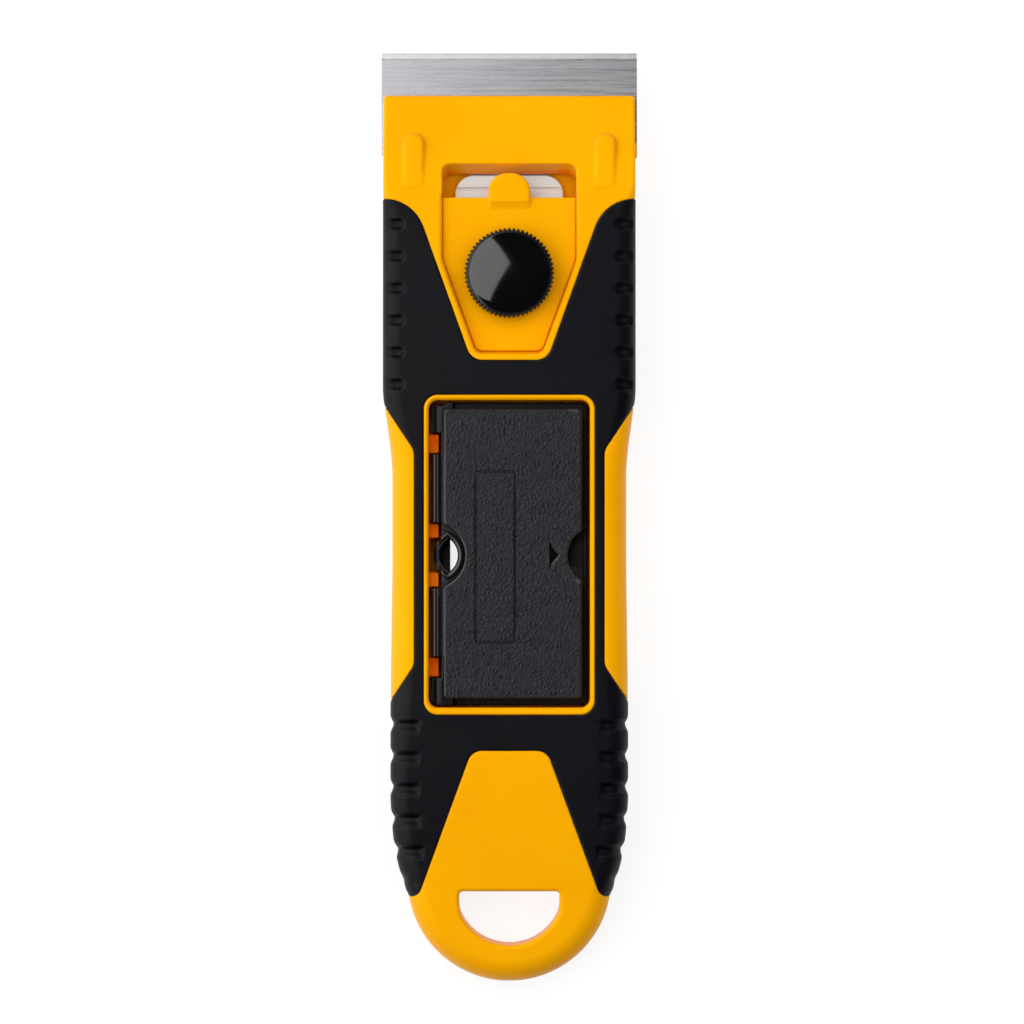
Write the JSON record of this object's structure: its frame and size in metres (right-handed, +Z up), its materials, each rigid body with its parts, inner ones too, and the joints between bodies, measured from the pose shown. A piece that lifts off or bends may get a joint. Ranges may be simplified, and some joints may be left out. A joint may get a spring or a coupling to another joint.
{
  "type": "razor blade scraper",
  "caption": "Flat hand scraper: a wide steel blade clamped in a sloped jaw by a knob, a soft-grip handle with a case of spare blades, and a hang hole.",
  "frame": {"origin": "centre of the bounding box at the back face, on which the tool lies", "axes": "+Y along the handle towards the blade's edge, +Z up out of the face with the knob, +X to the right of the blade end seen from above"},
  "size_m": [0.06, 0.218, 0.0205],
  "materials": {
    "yellow_plastic": "satin moulded",
    "grip_rubber": "soft-touch moulded",
    "case_plastic": "leather grain",
    "knob_plastic": "gloss black",
    "blade_steel": "ground",
    "polished_steel": "polished",
    "zinc_steel": "zinc plated"
  },
  "bodies": {
    "handle": {"handle_front_shell": "yellow_plastic", "handle_back_shell": "yellow_plastic", "grip_front": "grip_rubber", "grip_back": "grip_rubber", "shell_screws": "zinc_steel", "clamp_nut": "zinc_steel", "clamp_pivot_pin": "polished_steel"},
    "clamp": {"clamp_plate": "yellow_plastic"},
    "carriage": {"blade_carrier": "zinc_steel", "slide_plate": "polished_steel", "carrier_pegs": "polished_steel", "scraper_blade": "blade_steel"},
    "washer": {"thrust_washer": "zinc_steel"},
    "knob": {"knob": "knob_plastic", "knob_stud": "zinc_steel"},
    "case": {"case_base": "case_plastic", "spare_blade_1": "blade_steel", "spare_blade_2": "blade_steel", "spare_blade_3": "blade_steel", "spare_blade_4": "blade_steel", "spare_blade_5": "blade_steel"},
    "lid": {"case_lid": "case_plastic"}
  },
  "joints": [
    {"name": "blade_retract", "type": "slide", "parent": "handle", "child": "carriage", "axis": [0, -1, 0], "range_m": [0, 0.0101]},
    {"name": "knob_lift", "type": "slide", "parent": "handle", "child": "washer", "axis": [0, 0, 1], "range_m": [0, 0.0021]},
    {"name": "knob_turn", "type": "hinge", "parent": "washer", "child": "knob", "pos_m": [0, 0.05695, 0.0139], "axis": [0, 0, 1], "range_deg": [0, 1080]},
    {"name": "clamp_tilt", "type": "hinge", "parent": "handle", "child": "clamp", "pos_m": [0, 0.04135, 0.0095], "axis": [1, 0, 0], "range_deg": [0, 4.9]},
    {"name": "case_lift", "type": "slide", "parent": "handle", "child": "case", "axis": [0, 0, 1], "range_m": [0, 0.03]},
    {"name": "lid_open", "type": "hinge", "parent": "case", "child": "lid", "pos_m": [-0.01695, -0.00895, 0.0147], "axis": [0, -1, 0], "range_deg": [0, 100]}
  ],
  "couplings": [
    {"joint": "knob_lift", "follows": "knob_turn", "m_per_rad": 0.0001114},
    {"joint": "clamp_tilt", "follows": "knob_turn", "ratio": 0.004536}
  ]
}
